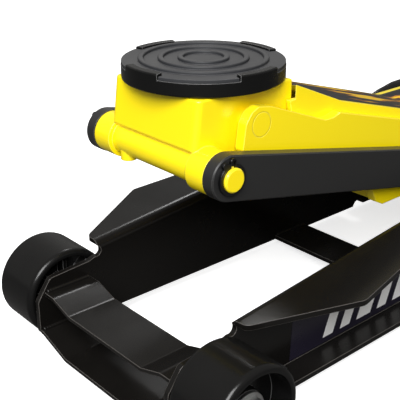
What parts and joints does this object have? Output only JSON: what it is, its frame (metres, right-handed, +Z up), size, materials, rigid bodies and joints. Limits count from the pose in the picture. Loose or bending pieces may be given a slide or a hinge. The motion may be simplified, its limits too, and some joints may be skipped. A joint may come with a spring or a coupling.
{
  "type": "hydraulic floor jack",
  "caption": "Trolley jack: two pressed side plates on wheels, a parallelogram lifting arm with a level head and padded saddle, a hydraulic unit and a pump handle.",
  "frame": {"origin": "under the middle of the jack and its handle, on the floor", "axes": "+X forward to the saddle end, +Y to the left of a person holding the handle, +Z up"},
  "size_m": [0.8906, 0.273, 1.1061],
  "materials": {
    "yellow_paint": "gloss enamel",
    "black_frame": "satin powder coat",
    "black_link": "semi-matt powder coat",
    "wheel_black": "semi-gloss paint",
    "caster_black": "satin",
    "caster_wheel": "satin",
    "zinc_bolt": "zinc plated",
    "black_oxide": "black oxide",
    "machined_steel": "machined",
    "chromed_rod": "polished",
    "cast_block": "painted cast iron",
    "saddle_iron": "black gloss paint",
    "pad_rubber": "matt",
    "bronze": "sintered",
    "spring_steel": "drawn wire",
    "handle_paint": "gloss powder coat",
    "grip_foam": "textured"
  },
  "bodies": {
    "frame": {"side_plate_left": "black_frame", "side_plate_right": "black_frame", "front_cross_plate": "black_frame", "skid_plate": "black_frame", "mid_cross_plate": "black_frame", "rear_cover_plate": "black_frame", "frame_bolts": "zinc_bolt", "frame_nuts": "zinc_bolt", "front_axles": "machined_steel", "front_axle_nuts": "zinc_bolt", "caster_mount_left": "black_frame", "caster_mount_right": "black_frame", "caster_swivel_bolts": "zinc_bolt", "caster_thrust_washers": "machined_steel", "arm_shaft": "machined_steel", "arm_shaft_nuts": "zinc_bolt", "arm_spacers": "black_oxide", "link_rear_pins": "black_oxide", "valve_block": "cast_block", "hydraulic_cylinder": "machined_steel", "cylinder_gland": "machined_steel", "oil_reservoir": "cast_block", "filler_plug": "black_oxide", "return_springs": "spring_steel", "plunger_springs": "spring_steel", "socket_pivot_bolts": "zinc_bolt"},
    "arm": {"arm_side_plate_left": "yellow_paint", "arm_side_plate_right": "yellow_paint", "arm_top_plate": "yellow_paint", "arm_lower_brace": "yellow_paint", "arm_bushes": "bronze", "head_pins": "yellow_paint"},
    "head": {"head_casting": "yellow_paint", "link_shaft": "yellow_paint", "snap_rings": "black_oxide"},
    "saddle": {"saddle_cup": "saddle_iron", "saddle_pad": "pad_rubber", "saddle_screw": "zinc_bolt"},
    "left_link": {"link_left": "black_link"},
    "right_link": {"link_right": "black_link"},
    "ram": {"ram_rod": "chromed_rod", "crosshead": "machined_steel", "crosshead_pin": "machined_steel"},
    "left_wheel": {"front_wheel_left": "wheel_black"},
    "right_wheel": {"front_wheel_right": "wheel_black"},
    "left_caster": {"caster_fork_left": "caster_black", "caster_axle_left": "zinc_bolt"},
    "right_caster": {"caster_fork_right": "caster_black", "caster_axle_right": "zinc_bolt"},
    "left_caster_roller": {"caster_wheel_left": "caster_wheel"},
    "right_caster_roller": {"caster_wheel_right": "caster_wheel"},
    "socket": {"handle_socket": "yellow_paint", "handle_retaining_screw": "black_oxide"},
    "handle": {"release_drive": "machined_steel", "handle_lower_tube": "handle_paint", "handle_upper_tube": "handle_paint", "handle_joint_button": "zinc_bolt", "handle_grip": "grip_foam"},
    "release": {"release_spindle": "machined_steel"},
    "plungers": {"pump_plungers": "chromed_rod"}
  },
  "joints": [
    {"name": "lift", "type": "hinge", "parent": "frame", "child": "arm", "pos_m": [-0.03331, 0, 0.128], "axis": [0, -1, 0], "range_deg": [-16.8, 42.7]},
    {"name": "head_level", "type": "hinge", "parent": "arm", "child": "head", "pos_m": [0.33369, 0, 0.208], "axis": [0, -1, 0], "range_deg": [-42.8, 16.9]},
    {"name": "left_link_swing", "type": "hinge", "parent": "frame", "child": "left_link", "pos_m": [0.00769, 0, 0.102], "axis": [0, -1, 0], "range_deg": [-16.9, 42.8]},
    {"name": "right_link_swing", "type": "hinge", "parent": "frame", "child": "right_link", "pos_m": [0.00769, 0, 0.102], "axis": [0, -1, 0], "range_deg": [-16.9, 42.8]},
    {"name": "ram_slide", "type": "slide", "parent": "frame", "child": "ram", "axis": [1, 0, 0], "range_m": [-0.01769, 0.04482], "deforming": ["return_springs"]},
    {"name": "saddle_swivel", "type": "hinge", "parent": "head", "child": "saddle", "pos_m": [0.33469, 0, 0.235], "axis": [0, 0, 1], "continuous": true},
    {"name": "left_wheel_spin", "type": "hinge", "parent": "frame", "child": "left_wheel", "pos_m": [0.40669, 0.11175, 0.039], "axis": [0, 1, 0], "continuous": true},
    {"name": "right_wheel_spin", "type": "hinge", "parent": "frame", "child": "right_wheel", "pos_m": [0.40669, -0.11175, 0.039], "axis": [0, 1, 0], "continuous": true},
    {"name": "left_caster_swivel", "type": "hinge", "parent": "frame", "child": "left_caster", "pos_m": [-0.18331, 0.118, 0.058], "axis": [0, 0, 1], "continuous": true},
    {"name": "right_caster_swivel", "type": "hinge", "parent": "frame", "child": "right_caster", "pos_m": [-0.18331, -0.118, 0.058], "axis": [0, 0, 1], "continuous": true},
    {"name": "left_caster_spin", "type": "hinge", "parent": "left_caster", "child": "left_caster_roller", "pos_m": [-0.19731, 0.118, 0.024], "axis": [0, 1, 0], "continuous": true},
    {"name": "right_caster_spin", "type": "hinge", "parent": "right_caster", "child": "right_caster_roller", "pos_m": [-0.19731, -0.118, 0.024], "axis": [0, 1, 0], "continuous": true},
    {"name": "handle_pump", "type": "hinge", "parent": "frame", "child": "socket", "pos_m": [-0.25431, 0, 0.119], "axis": [0, -1, 0], "range_deg": [0, 55], "stiffness_Nm_per_rad": 4, "springref_deg": -68.75},
    {"name": "plunger_push", "type": "slide", "parent": "frame", "child": "plungers", "axis": [1, 0, 0], "range_m": [0, 0.02596], "deforming": ["plunger_springs"]},
    {"name": "handle_twist", "type": "hinge", "parent": "socket", "child": "handle", "pos_m": [-0.25431, 0, 0.119], "axis": [-0.1736, 0, 0.9848], "range_deg": [0, 90]},
    {"name": "release_turn", "type": "hinge", "parent": "frame", "child": "release", "pos_m": [-0.25431, 0, 0.119], "axis": [-0.6157, 0, 0.788], "range_deg": [0, 90]}
  ],
  "couplings": [
    {"joint": "head_level", "follows": "lift", "ratio": -1},
    {"joint": "left_link_swing", "follows": "lift", "ratio": 1},
    {"joint": "right_link_swing", "follows": "lift", "ratio": 1},
    {"joint": "ram_slide", "follows": "lift", "m_per_rad": 0.06},
    {"joint": "plunger_push", "follows": "handle_pump", "m_per_rad": 0.026937},
    {"joint": "release_turn", "follows": "handle_twist", "ratio": 1}
  ]
}
